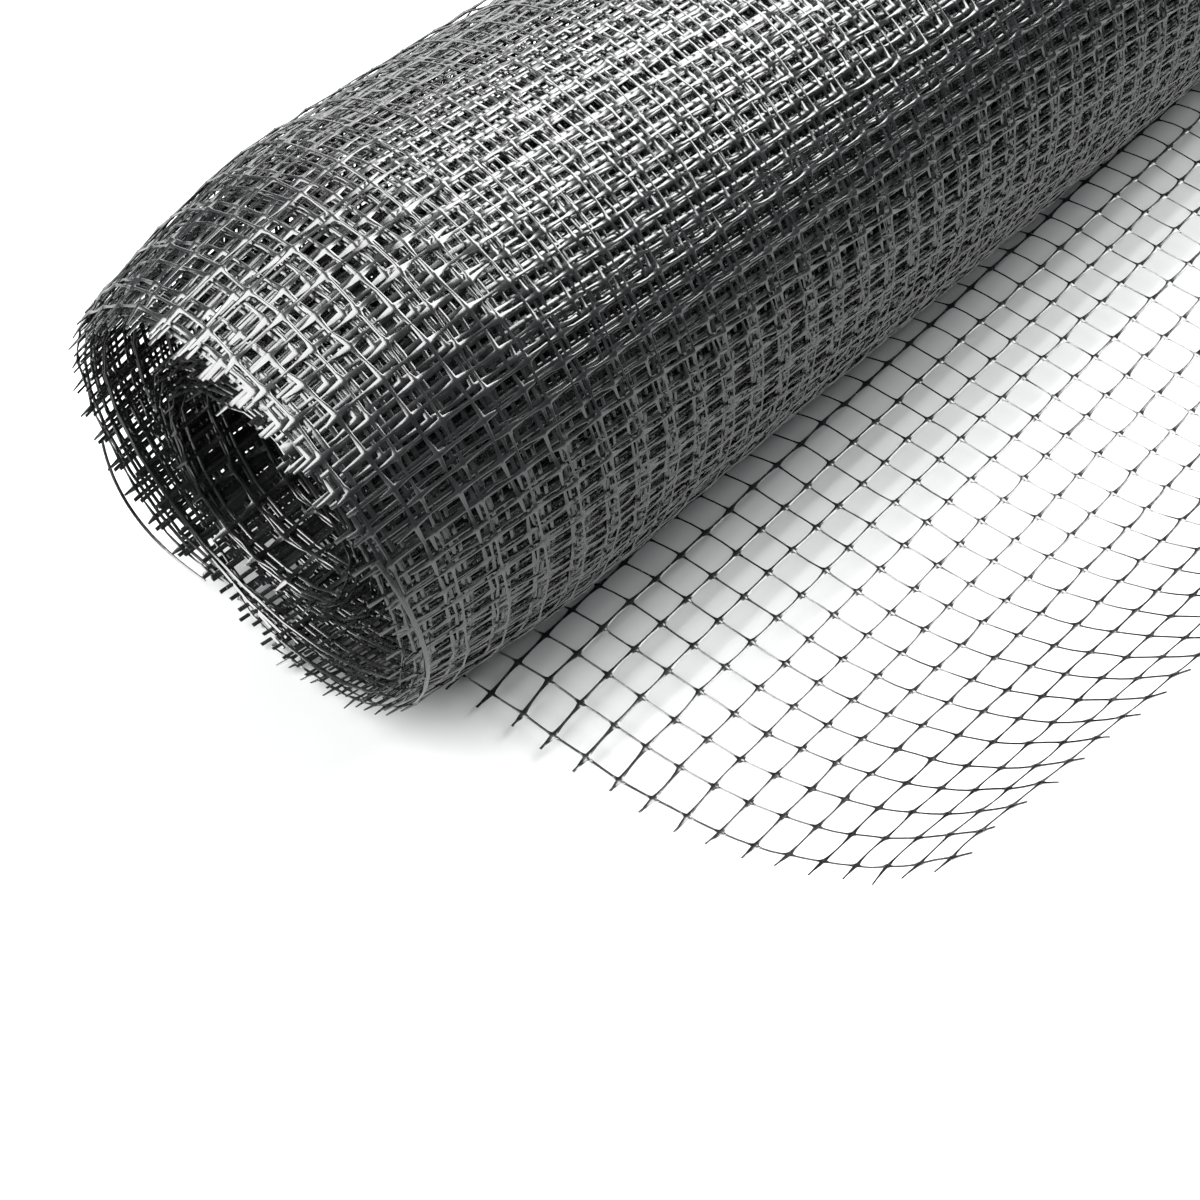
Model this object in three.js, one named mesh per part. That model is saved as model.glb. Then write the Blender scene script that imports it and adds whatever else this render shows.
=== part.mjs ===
// Roll of plastic mole netting, partly unrolled. One continuous extruded net: most of it is wound into a
// loose roll that lies on its side, and its loose end runs out from under the roll, a little above the
// floor, and curls up at its cut edge.
//
// Millimetres. +X is the way the net unrolls, +Y runs along the roll's axis, +Z is up. The origin is on
// the floor, in the middle of the flat that the roll rests on.
//
// The roll is one turned solid with its bore, and its turns show as ridges on both ends. The loose end is
// a lattice of real strands with a roof-shaped section, fused where they cross. It is parted across the
// unrolling direction into three stretches, so that no stretch has much more than 400 crossings.

import * as THREE from 'three';

// Net
const NET_WIDTH = 1000;          // from cut edge to cut edge, along the roll's axis
const PITCH_ALONG = 16;          // between the strands that run along the axis, measured along the net
const PITCH_ACROSS = 15.6;       // between the strands that run the way the net unrolls
const STRAND_WIDTH = 1.6;
const STRAND_HEIGHT = 1.4;
const EDGE_TAIL = 8;             // how far a cut strand stands past the last crossing

// Roll
const ROLL_RADIUS = 102;         // from the axis to the flat that the roll rests on
const BORE_RADIUS = 46;
const ROLL_SIDES = 48;
const OUTER_TURNS = 10;
const OUTER_TURN_PITCH = 1.05;   // from one turn to the next, across the wall
const INNER_TURNS = 10;
const INNER_TURN_PITCH = 1.4;
const TURN_RELIEF = 6;           // how deep the valley between two turns is, on the ends
const GROUP_GAP_DEPTH = 60;      // how far the space between outer and inner turns runs in from each end
const END_TAPER = 10;            // how much smaller the radius is at the cut ends, where the turns sag
const TAPER_LENGTH = 85;
const TAPER_STEPS = 4;

// Loose end
const ROWS_PAST_ROLL = 15;       // strands parallel to the axis, from the first row that clears the roll
const ROWS_UNDER_ROLL = 3;       // rows before that one, in the wedge under the roll
const FIRST_ROW = 70;            // along the net, from the roll's lowest line to the first clear row
const SIDE_SHIFT = 38;           // the inner turns have slid along the axis, so the loose end is off centre
const SKEW = 0.034;              // the loose end leaves the roll a little askew
const HOVER_HEIGHT = 15;         // how high the net springs off the floor
const HOVER_START = 20;
const HOVER_END = 86;
const DIP_SHARE = 0.62;          // the near corner by the roll sags back towards the floor
const DIP_ACROSS = 22;
const DIP_ALONG = 240;
const SWELL_HEIGHT = 8;          // the net arches up beside the roll, away from the near corner
const SWELL_ACROSS = 400;
const SWELL_ALONG = 80;
const CURL_START = 122;          // along the net, at the near cut edge
const CURL_DRIFT = 0.196;        // the curl starts this much further out for each mm along the axis
const CURL_DRIFT_SPAN = 300;
const CURL_RADIUS = 167;
const CURL_ANGLE = THREE.MathUtils.degToRad(52);
const STRETCHES = ['loose_end_under_roll', 'loose_end_flat', 'loose_end_curl'];
const PIECE_GAP = 0.3;           // between stretches, and between the net and the roll

// Worked out from the sizes above
const cornerScale = 1 / Math.cos(Math.PI / ROLL_SIDES);
const halfWidth = STRAND_WIDTH / 2;
const strandCount = Math.floor((NET_WIDTH - 2 * EDGE_TAIL) / PITCH_ACROSS) + 1;
const strandSpan = (strandCount - 1) * PITCH_ACROSS;
const netEndY = strandSpan / 2 + EDGE_TAIL;
const firstStrandY = -strandSpan / 2 + SIDE_SHIFT;

const netMaterial = new THREE.MeshStandardMaterial({ color: 0x17181a, roughness: 0.35, metalness: 0 });

// From the roll's axis to its outer turn's flats, which come in towards both ends.
function outerRadius(y) {
  const taper = THREE.MathUtils.smoothstep(Math.abs(y), netEndY - TAPER_LENGTH, netEndY);
  return ROLL_RADIUS - END_TAPER * taper;
}

// The roll's outline, in (radius, place along the axis), closed on itself. Each turn ends in a crest, with
// a valley between it and the next one.
function rollOutline() {
  const valleyY = netEndY - TURN_RELIEF;
  const innerWall = INNER_TURNS * INNER_TURN_PITCH;
  const outerWall = OUTER_TURNS * OUTER_TURN_PITCH;
  const outerWallInside = outerRadius(netEndY) * cornerScale - outerWall;
  const end = [];
  const addTurns = (startRadius, count, pitch) => {
    end.push([startRadius, valleyY]);
    for (let turn = 0; turn < count; turn += 1) {
      const inside = startRadius + turn * pitch;
      end.push([inside + pitch / 2, netEndY]);
      end.push([inside + pitch, valleyY]);
    }
  };
  addTurns(BORE_RADIUS, INNER_TURNS, INNER_TURN_PITCH);
  end.push([BORE_RADIUS + innerWall, netEndY - GROUP_GAP_DEPTH]);
  end.push([outerWallInside, netEndY - GROUP_GAP_DEPTH]);
  addTurns(outerWallInside, OUTER_TURNS, OUTER_TURN_PITCH);
  for (let step = 1; step <= TAPER_STEPS; step += 1) {
    const y = netEndY - TAPER_LENGTH * step / TAPER_STEPS;
    end.push([outerRadius(y) * cornerScale, y]);
  }

  const nearEnd = end.map(([radius, along]) => new THREE.Vector2(radius, -along));
  const farEnd = end.map(([radius, along]) => new THREE.Vector2(radius, along)).reverse();
  return [...nearEnd, ...farEnd, nearEnd[0].clone()];
}

// Turned about Y, with one flat of its many sides level with the floor. The ends sag, so that the roll
// rests on the same line over its whole length.
function makeRoll() {
  const geometry = new THREE.LatheGeometry(rollOutline(), ROLL_SIDES, Math.PI / ROLL_SIDES);
  const position = geometry.attributes.position;
  for (let index = 0; index < position.count; index += 1) {
    const sag = ROLL_RADIUS - outerRadius(position.getY(index));
    position.setZ(index, position.getZ(index) - sag);
  }
  geometry.computeVertexNormals();
  const roll = new THREE.Mesh(geometry, netMaterial);
  roll.name = 'wound_roll';
  roll.position.set(0, 0, ROLL_RADIUS);
  return roll;
}

// A point of the loose end's underside. "along" is measured along the net from the roll's lowest line,
// and "across" along the roll's axis.
function sheetPoint(along, across) {
  const fromNearEdge = Math.max(0, across - firstStrandY);
  const pastFirstRow = Math.max(0, along - FIRST_ROW);
  const curlStart = CURL_START + CURL_DRIFT * Math.min(fromNearEdge, CURL_DRIFT_SPAN);
  const arcAngle = THREE.MathUtils.clamp((along - curlStart) / CURL_RADIUS, 0, CURL_ANGLE);
  const straight = Math.max(0, along - curlStart - CURL_RADIUS * CURL_ANGLE);
  const x = Math.min(along, curlStart) + CURL_RADIUS * Math.sin(arcAngle) + straight * Math.cos(CURL_ANGLE);
  const curlHeight = CURL_RADIUS * (1 - Math.cos(arcAngle)) + straight * Math.sin(CURL_ANGLE);

  const rise = THREE.MathUtils.smoothstep(along, HOVER_START, HOVER_END);
  const dip = DIP_SHARE * Math.exp(-fromNearEdge / DIP_ACROSS) * Math.exp(-pastFirstRow / DIP_ALONG);
  const swell = SWELL_HEIGHT * Math.min(fromNearEdge / SWELL_ACROSS, 1) * Math.exp(-pastFirstRow / SWELL_ALONG);
  const hover = rise * (HOVER_HEIGHT * (1 - dip) + swell);
  return new THREE.Vector3(x, across, curlHeight + hover);
}

// Where strand "row" (parallel to the axis) crosses strand "column" on the net, before it is bent.
function crossingPlace(row, column) {
  const out = row * PITCH_ALONG;
  const over = column * PITCH_ACROSS;
  return [FIRST_ROW + out - SKEW * over, firstStrandY + over + SKEW * out];
}

// One crossing: the four corners of its underside, never below the floor, and the peak of its roof.
const SAMPLE_STEP = 1;
function makeCrossing(row, column) {
  const [along, across] = crossingPlace(row, column);
  const centre = sheetPoint(along, across);
  const alongDirection = sheetPoint(along + SAMPLE_STEP, across + SKEW * SAMPLE_STEP).sub(centre).normalize();
  const rowDirection = sheetPoint(along - SKEW * SAMPLE_STEP, across + SAMPLE_STEP).sub(centre).normalize();
  const up = new THREE.Vector3().crossVectors(alongDirection, rowDirection).normalize();
  const corner = (alongSide, acrossSide) => {
    const point = centre.clone();
    point.addScaledVector(alongDirection, alongSide * halfWidth);
    point.addScaledVector(rowDirection, acrossSide * halfWidth);
    point.z = Math.max(point.z, 0);
    return point;
  };
  return {
    centre,
    corners: [corner(-1, -1), corner(1, -1), corner(1, 1), corner(-1, 1)],
    peak: centre.clone().addScaledVector(up, STRAND_HEIGHT),
  };
}

// The four ways out of a crossing. "left" and "right" are the corners on either side of the arm, seen
// going out with the roof up, and the far corners are the ones it meets on the next crossing.
const ARMS = [
  { name: 'out', row: 1, column: 0, left: 2, right: 1, farLeft: 3, farRight: 0 },
  { name: 'far', row: 0, column: 1, left: 3, right: 2, farLeft: 0, farRight: 1 },
  { name: 'back', row: -1, column: 0, left: 0, right: 3, farLeft: 1, farRight: 2 },
  { name: 'near', row: 0, column: -1, left: 1, right: 0, farLeft: 2, farRight: 3 },
];

// The roll's flats rise away from the floor. The net starts where its roof just clears them.
function netStartX() {
  const flatAngle = 2 * Math.PI / ROLL_SIDES;
  const flatHalf = ROLL_RADIUS * Math.tan(Math.PI / ROLL_SIDES);
  return flatHalf + (STRAND_HEIGHT + PIECE_GAP) / Math.tan(flatAngle);
}

// A lattice of strands for the rows from "firstRow" to "lastRow", as one closed mesh.
function makeStretch(name, firstRow, lastRow) {
  const startX = netStartX();
  const positions = [];
  const indices = [];
  const crossings = new Map();
  const place = (point) => {
    positions.push(point.x, point.y, point.z);
    return positions.length / 3 - 1;
  };
  const triangle = (a, b, c) => indices.push(a, b, c);
  const quad = (a, b, c, d) => {
    triangle(a, b, c);
    triangle(a, c, d);
  };

  for (let row = firstRow; row <= lastRow; row += 1) {
    for (let column = 0; column < strandCount; column += 1) {
      const crossing = makeCrossing(row, column);
      if (crossing.centre.x - halfWidth < startX + PIECE_GAP) continue;
      crossing.cornerIndices = crossing.corners.map(place);
      crossing.peakIndex = place(crossing.peak);
      crossings.set(`${row},${column}`, crossing);
    }
  }

  // How far out of a crossing's middle an arm that ends free goes: a cut tail, half a strand where two
  // stretches meet, or as far as the roll leaves room.
  const freeLength = (crossing, next, arm, row, column) => {
    const inNet = row < ROWS_PAST_ROLL && column >= 0 && column < strandCount;
    if (!inNet) return EDGE_TAIL;
    if (arm.row !== 0 && next.centre.x - halfWidth >= startX + PIECE_GAP) return (PITCH_ALONG - PIECE_GAP) / 2;
    const side = arm.row === 0 ? halfWidth : 0;
    const pitch = arm.row === 0 ? PITCH_ACROSS : PITCH_ALONG;
    const room = (crossing.centre.x - side - startX) / Math.abs(crossing.centre.x - next.centre.x);
    return pitch * THREE.MathUtils.clamp(room, 0, 1);
  };

  for (const [key, crossing] of crossings) {
    const [row, column] = key.split(',').map(Number);
    const under = crossing.cornerIndices;
    quad(under[0], under[3], under[2], under[1]);
    for (const arm of ARMS) {
      const left = under[arm.left];
      const right = under[arm.right];
      const neighbour = crossings.get(`${row + arm.row},${column + arm.column}`);
      if (neighbour) {
        const startsHere = arm.name === 'out' || arm.name === 'far';
        if (!startsHere) continue;
        const farLeft = neighbour.cornerIndices[arm.farLeft];
        const farRight = neighbour.cornerIndices[arm.farRight];
        quad(right, left, farLeft, farRight);
        quad(right, farRight, neighbour.peakIndex, crossing.peakIndex);
        quad(farLeft, left, crossing.peakIndex, neighbour.peakIndex);
        continue;
      }
      const next = makeCrossing(row + arm.row, column + arm.column);
      const length = freeLength(crossing, next, arm, row + arm.row, column + arm.column);
      if (length < halfWidth + PIECE_GAP) {
        triangle(right, left, crossing.peakIndex);
        continue;
      }
      const share = length / (arm.row === 0 ? PITCH_ACROSS : PITCH_ALONG);
      const tip = makeCrossing(row + arm.row * share, column + arm.column * share);
      const side = (near, far) => place(tip.corners[near].clone().lerp(tip.corners[far], 0.5));
      const tipLeft = side(arm.left, arm.farLeft);
      const tipRight = side(arm.right, arm.farRight);
      const tipPeak = place(tip.peak);
      quad(right, left, tipLeft, tipRight);
      quad(right, tipRight, tipPeak, crossing.peakIndex);
      quad(tipLeft, left, crossing.peakIndex, tipPeak);
      triangle(tipRight, tipLeft, tipPeak);
    }
  }

  const geometry = new THREE.BufferGeometry();
  geometry.setAttribute('position', new THREE.Float32BufferAttribute(positions, 3));
  geometry.setIndex(indices);
  geometry.computeVertexNormals();
  const stretch = new THREE.Mesh(geometry, netMaterial);
  stretch.name = name;
  return stretch;
}

const netting = new THREE.Group();
netting.name = 'mole_netting_roll';
netting.add(makeRoll());

const rowCount = ROWS_UNDER_ROLL + ROWS_PAST_ROLL;
const rowsPerStretch = Math.ceil(rowCount / STRETCHES.length);
STRETCHES.forEach((name, index) => {
  const firstRow = -ROWS_UNDER_ROLL + index * rowsPerStretch;
  const lastRow = Math.min(firstRow + rowsPerStretch, ROWS_PAST_ROLL) - 1;
  netting.add(makeStretch(name, firstRow, lastRow));
});

export default netting;
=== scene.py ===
"""Looks of a loosely wound roll of extruded plastic mole netting, partly unrolled.

The net is one continuous lattice of strands. Every stretch of it is a grid of lines laid along the strands,
with the open cells left out, and bent from the flat onto the path that the stretch follows: a turn of the
roll or the loose end. All sizes are in metres, in the frame of the part: +X is the way the net unrolls, +Y
runs along the roll's axis and +Z is up.
"""

import logging
import math
from dataclasses import dataclass, field
from enum import Enum

import bpy
import numpy as np
from mathutils import Matrix, Vector


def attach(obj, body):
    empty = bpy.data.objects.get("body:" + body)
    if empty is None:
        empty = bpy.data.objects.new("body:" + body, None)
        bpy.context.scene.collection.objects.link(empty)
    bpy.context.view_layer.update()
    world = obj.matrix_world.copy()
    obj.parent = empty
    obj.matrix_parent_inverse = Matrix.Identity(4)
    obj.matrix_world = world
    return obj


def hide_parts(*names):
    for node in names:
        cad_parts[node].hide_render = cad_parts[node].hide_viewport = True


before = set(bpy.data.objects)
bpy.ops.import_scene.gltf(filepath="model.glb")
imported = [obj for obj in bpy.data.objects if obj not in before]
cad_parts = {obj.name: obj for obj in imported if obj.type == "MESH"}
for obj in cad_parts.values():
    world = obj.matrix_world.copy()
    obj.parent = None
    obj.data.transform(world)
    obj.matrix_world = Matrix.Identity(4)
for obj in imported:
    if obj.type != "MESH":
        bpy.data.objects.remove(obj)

LOG = logging.getLogger("mole_netting")
BODY = "root"
FULL_TURN = 2 * math.pi
SHARP_ANGLE = math.radians(75)  # an edge that turns further is shaded as a crease
FLARE_STATION = 0.35  # where the first line of a fine link lies on its flare
KNOT_SIDES = (-1.0, 0.0, 1.0)  # a crossing's own lines: near edge, middle and far edge
CUT_BEVEL = 0.0002  # from a cut strand's last full section to the edge that closes it
TAIL_RANGE = (0.35, 1.4)  # shortest and longest tail, as shares of the usual length
PLAIN_WIDENING = 1.7  # plain strands make up for the flares that they lack
PLAIN_HEIGHTENING = 1.3
PLAIN_SPREAD = 0.03  # how unevenly plain strands are spaced, as a share of the pitch


def smoothstep(value: np.ndarray, start: float, end: float) -> np.ndarray:
    """Eases from 0 to 1 between two values.

    Args:
        value: Where to read the curve.
        start: The value at which it leaves 0. It may be larger than end.
        end: The value at which it reaches 1.

    Returns:
        3 t squared minus 2 t cubed, with t the share of the way from start to end.
    """
    share = np.clip((value - start) / (end - start), 0.0, 1.0)
    return share * share * (3.0 - 2.0 * share)


class Detail(Enum):
    """How finely a stretch of net is made: the pieces of each link along the net, and across it."""

    CLOSE = (6, 6)
    OUTER = (3, 4)
    SECOND = (2, 3)
    DEEP = (2, 2)


@dataclass(frozen=True)
class Sizes:
    """Sizes that the roll and its loose end share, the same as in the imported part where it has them.

    Attributes:
        edge_tail: How far a cut strand of the loose end stands past the last crossing.
        columns: How many strands run the way the net unrolls.
        roll_radius: From the roll's axis to the floor.
        first_row: Along the net, from the roll's lowest line to the first row that clears the roll.
        side_shift: How far the loose end's middle lies from the roll's, along the axis.
        skew: How far a row of the loose end drifts along the net for each metre along the axis.
        half_thickness: From the underside of the net to its middle, on the floor.
        knot_room: From the outline of the roll to the middle of the outermost net.
        pitch_along, pitch_across: From one crossing to the next, the way the net unrolls and along the axis.
    """

    edge_tail: float = 0.008
    columns: int = 64
    roll_radius: float = 0.102
    first_row: float = 0.070
    side_shift: float = 0.038
    skew: float = 0.034
    half_thickness: float = 0.0007
    knot_room: float = 0.0010
    pitch_along: float = 0.016
    pitch_across: float = 0.0156

    @property
    def span(self) -> float:
        """From the first lengthwise strand to the last."""
        return (self.columns - 1) * self.pitch_across

    @property
    def end_y(self) -> float:
        """The roll's cut end."""
        return self.span / 2 + self.edge_tail

    @property
    def first_strand_y(self) -> float:
        """The loose end's first lengthwise strand, at the near end."""
        return -self.span / 2 + self.side_shift


SIZES = Sizes()


@dataclass(frozen=True)
class Family:
    """One of the net's two families of parallel strands.

    Attributes:
        pitch: From one crossing to the next, along the strand.
        half_width: Half the strand's width, midway between two crossings.
        half_height: Half its height there.
        flare: How far from the middle of a crossing the strand starts to widen.
        knot: Half the size of the crossing, along the strand.
    """

    pitch: float
    half_width: float
    half_height: float
    flare: float
    knot: float

    def stations(self, pieces: int) -> np.ndarray:
        """Places along one link, from the middle of a crossing, where its section is set.

        Args:
            pieces: How many pieces the link has, 2, 3, 4 or 6.

        Returns:
            The places between the two crossings, without the crossings' own edges.
        """
        start = (self.knot + FLARE_STATION * (self.flare - self.knot), self.flare)
        chosen = {2: (), 3: start[1:], 4: start[1:], 6: start}[pieces]
        middle = [] if pieces == 3 else [self.pitch / 2]
        return np.array([*chosen, *middle, *(self.pitch - place for place in reversed(chosen))])

    def width_at(self, reach: np.ndarray, knot_half_width: float) -> np.ndarray:
        """Half the strand's width: it grows with the square of the way from the flare's end to the crossing.

        Args:
            reach: Distance to the middle of the nearest crossing.
            knot_half_width: Half the width at the crossing's edge.

        Returns:
            Half the width at each distance.
        """
        rest = np.clip((self.flare - reach) / (self.flare - self.knot), 0.0, 1.0)
        return self.half_width + (knot_half_width - self.half_width) * rest**2

    def height_at(self, reach: np.ndarray, knot_half_height: float) -> np.ndarray:
        """Half the strand's height, which grows the same way as its width."""
        rest = np.clip((self.flare - reach) / (self.flare - self.knot), 0.0, 1.0)
        return self.half_height + (knot_half_height - self.half_height) * rest**2


@dataclass(frozen=True)
class Lines:
    """The grid lines that lie across one family's strands.

    Attributes:
        crossing: The number of the crossing that a line lies on or has passed.
        share: How much of the way to the next crossing the line lies. It is below 0 on a first tail.
        side: -1, 0 or 1 for the near edge, middle and far edge of a crossing, and 0 elsewhere.
        on_knot: True on a crossing's own lines.
        on_tail: True beyond the last crossing at either end.
        shut: True on the line that closes a cut end.
        reach: Distance to the middle of the nearest crossing.
    """

    crossing: np.ndarray
    share: np.ndarray
    side: np.ndarray
    on_knot: np.ndarray
    on_tail: np.ndarray
    shut: np.ndarray
    reach: np.ndarray


def lay_lines(family: Family, count: int, pieces: int, tails: tuple[float, float]) -> Lines:
    """Lays the grid lines across a family's strands, from one cut end to the other.

    Args:
        family: The strands that the lines lie across.
        count: How many crossings the strands have.
        pieces: How many pieces a link has.
        tails: Lengths from the first and the last crossing to the ends.

    Returns:
        The lines in order.
    """
    inner = family.stations(pieces)
    period = len(KNOT_SIDES) + len(inner)
    places = np.concatenate([np.zeros(len(KNOT_SIDES)), inner])
    sides = np.concatenate([KNOT_SIDES, np.zeros(len(inner))])
    knots = np.arange(period) < len(KNOT_SIDES)
    keep = count * period - len(inner)

    def tail(length: float) -> np.ndarray:
        """Places on a tail, from the crossing outwards."""
        steps = [family.flare] if length > family.flare + CUT_BEVEL else []
        return np.array([*steps, length, length + CUT_BEVEL])

    first = -tail(tails[0])[::-1]
    last = tail(tails[1])
    place = np.concatenate([first, np.tile(places, count)[:keep], last])
    crossing = np.concatenate(
        [np.zeros(len(first)), np.repeat(np.arange(count), period)[:keep], np.full(len(last), count - 1)]
    ).astype(int)
    size = len(place)
    on_tail = (np.arange(size) < len(first)) | (np.arange(size) >= size - len(last))
    shut = (np.arange(size) == 0) | (np.arange(size) == size - 1)
    side = np.concatenate([np.zeros(len(first)), np.tile(sides, count)[:keep], np.zeros(len(last))])
    on_knot = np.zeros(size, bool)
    on_knot[len(first) : size - len(last)] = np.tile(knots, count)[:keep]
    reach = np.where(on_tail, np.abs(place), np.minimum(place, family.pitch - place))
    return Lines(crossing, place / family.pitch, side, on_knot, on_tail, shut, reach)


class Course:
    """The path that a stretch of net follows."""

    def place(
        self, row: np.ndarray, column: np.ndarray, out: np.ndarray, over: np.ndarray, lift: np.ndarray
    ) -> np.ndarray:
        """Puts points of the net in space.

        Args:
            row: Crossing number along the net, with fractions between crossings.
            column: Crossing number across the net.
            out: Distance from there along the net.
            over: Distance from there across the net.
            lift: Height over the middle of the net's thickness, outwards.

        Returns:
            The points, one row each.
        """
        raise NotImplementedError


@dataclass(frozen=True)
class Unevenness:
    """How far the net strays from a perfect lattice, as standard deviations.

    Attributes:
        crossing_shift, crossing_lift: Of a crossing, within the net and out of it, in metres.
        bow: Of a link's middle to its side, in metres.
        tail_bend: Of a cut tail to its side, in metres for each pitch of its length.
        tail_share: Of a cut tail's length, as a share of it.
    """

    crossing_shift: float = 0.0003
    crossing_lift: float = 0.0003
    bow: float = 0.00025
    tail_bend: float = 0.0012
    tail_share: float = 0.22


@dataclass(frozen=True)
class Net:
    """The extruded net, before it is bent.

    Attributes:
        lengthwise: The thin straight strands that run the way the net unrolls.
        crosswise: The flat strands that run parallel to the roll's axis and flare where they cross.
        knot_half_height: Half the height at a crossing's edge.
        boss: How much higher the crossing's middle is, as a share of that.
        end_steps: Columns near a cut end of the roll where a plain crosswise strand has a step.
        middle_steps: Columns between both ends where it has one.
        extra_steps: Steps that a plain lengthwise strand has beyond one for every other row.
    """

    lengthwise: Family = Family(
        pitch=SIZES.pitch_along, half_width=0.00045, half_height=0.00040, flare=0.0034, knot=0.0012
    )
    crosswise: Family = Family(
        pitch=SIZES.pitch_across, half_width=0.00056, half_height=0.00030, flare=0.0056, knot=0.0008
    )
    knot_half_height: float = 0.00055
    boss: float = 0.45
    end_steps: tuple[float, ...] = (0.0, 1.0, 2.5, 4.0, 6.0)
    middle_steps: tuple[float, ...] = (14.0, 23.0, 32.0, 41.0, 50.0)
    extra_steps: int = 9

    def mesh(
        self,
        name: str,
        course: Course,
        rows: int,
        columns: int,
        detail: Detail,
        tails: tuple[tuple[float, float], tuple[float, float]],
        uneven: Unevenness,
        seed: int,
    ) -> bpy.types.Object:
        """Makes a stretch of net as one closed lattice.

        The flat net is a grid of lines. A grid cell is part of the net where its lines lie on a crossing in
        either direction, and the rest are the open cells. The upper and the lower skin share the strands'
        edges. Each point is the crossing's place, plus half a strand's width to its side, plus the uneven
        shift of the crossings around it, and the course then bends it. A face with its first and third
        points on a strand's edge starts one point on, so that both skins aren't split along one line.

        Args:
            name: Name of the piece.
            course: The path that the net follows.
            rows: Crossings along the net.
            columns: Crossings across it.
            detail: How fine the links are.
            tails: Ends along the net (first, last), and across it (near, far).
            uneven: How far the net strays from a perfect lattice.
            seed: Seed of the random numbers.

        Returns:
            The new object, at the origin.
        """
        along = lay_lines(self.lengthwise, rows, detail.value[0], tails[0])
        across = lay_lines(self.crosswise, columns, detail.value[1], tails[1])
        used = along.on_knot[:, None] | across.on_knot[None, :]
        p, q = np.nonzero(used)
        knot_p, knot_q = along.on_knot[p], across.on_knot[q]
        side_p, side_q = along.side[p], across.side[q]

        width_lengthwise = self.lengthwise.width_at(along.reach[p], self.crosswise.knot)
        width_crosswise = self.crosswise.width_at(across.reach[q], self.lengthwise.knot)
        half_out = np.where(knot_q, self.lengthwise.knot, width_crosswise)
        half_over = np.where(knot_p, self.crosswise.knot, width_lengthwise)
        inside_p, inside_q = 1.0 - side_p**2, 1.0 - side_q**2
        bump = 1.0 + self.boss * inside_p * inside_q
        knot_height = self.knot_half_height * np.sqrt(1.0 - (side_p * side_q) ** 2) * bump
        height_lengthwise = self.lengthwise.height_at(along.reach[p], self.knot_half_height) * inside_q
        height_crosswise = self.crosswise.height_at(across.reach[q], self.knot_half_height) * inside_p
        height = np.where(knot_p & knot_q, knot_height, np.where(knot_q, height_lengthwise, height_crosswise))
        height = np.where(along.shut[p] | across.shut[q], 0.0, height)

        random = np.random.default_rng(seed)
        strayed = self._stray(random, uneven, along, across, p, q, rows, columns)
        row_shift, column_shift, out, over, lift = strayed
        row = along.crossing[p] + along.share[p] * row_shift
        column = across.crossing[q] + across.share[q] * column_shift
        out = out + side_p * half_out
        over = over + side_q * half_over

        raised = height > 0.0
        size = len(p)
        top = np.zeros(used.shape, int)
        top[p, q] = np.arange(size)
        low = np.arange(size)
        low[raised] = size + np.arange(int(raised.sum()))
        bottom = np.zeros(used.shape, int)
        bottom[p, q] = low

        points = np.concatenate(
            [
                course.place(row, column, out, over, lift + height),
                course.place(row[raised], column[raised], out[raised], over[raised], (lift - height)[raised]),
            ]
        )
        solid = self._knot_cells(along)[:, None] | self._knot_cells(across)[None, :]
        a, b = np.nonzero(solid)
        upper = np.stack([top[a, b], top[a + 1, b], top[a + 1, b + 1], top[a, b + 1]], axis=1)
        lower = np.stack([bottom[a, b], bottom[a, b + 1], bottom[a + 1, b + 1], bottom[a + 1, b]], axis=1)
        faces = np.concatenate([upper, lower])
        on_edge = ~np.concatenate([raised, raised[raised]])[faces]
        split_on_edge = on_edge[:, 0] & on_edge[:, 2]
        faces[split_on_edge] = np.roll(faces[split_on_edge], 1, axis=1)
        tone = random.uniform(0.0, 1.0, (rows, columns))[along.crossing[p], across.crossing[q]]
        return make_object(name, points, faces, np.concatenate([tone, tone[raised]]))

    def plain_mesh(
        self, name: str, course: Course, rows: int, columns: int, tails: tuple[float, float], seed: int
    ) -> bpy.types.Object:
        """Makes a stretch that lies behind others, as plain strands laid over one another.

        A strand is a four-sided section carried along a straight line on the flat net, and the course then
        bends it. Lengthwise strands have even steps, and crosswise strands have most of theirs near the ends
        of the roll, where it draws in.

        Args:
            name: Name of the piece.
            course: The path that the net follows.
            rows: Crossings along the net.
            columns: Crossings across it.
            tails: Ends along the net and across it.
            seed: Seed of the random numbers.

        Returns:
            The new object, at the origin.
        """
        random = np.random.default_rng(seed)
        overhang = tails[0] / self.lengthwise.pitch
        row_steps = np.linspace(-overhang, rows - 1 + overhang, rows // 2 + self.extra_steps)
        near_steps = np.array([-tails[1] / self.crosswise.pitch, *self.end_steps])
        column_steps = np.concatenate([near_steps, self.middle_steps, columns - 1 - near_steps[::-1]])
        column = np.arange(columns, dtype=float)[:, None] + random.normal(0.0, PLAIN_SPREAD, (columns, 1))
        row = np.arange(rows, dtype=float)[:, None] + random.normal(0.0, PLAIN_SPREAD, (rows, 1))
        along = self.bars(course, row_steps[None, :], column, self.lengthwise, lengthwise=True)
        across = self.bars(course, row, column_steps[None, :], self.crosswise, lengthwise=False)
        points = np.concatenate([along[0], across[0]])
        faces = np.concatenate([along[1], across[1] + len(along[0])])
        return make_object(name, points, faces, random.uniform(0.0, 1.0, len(points)))

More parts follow.
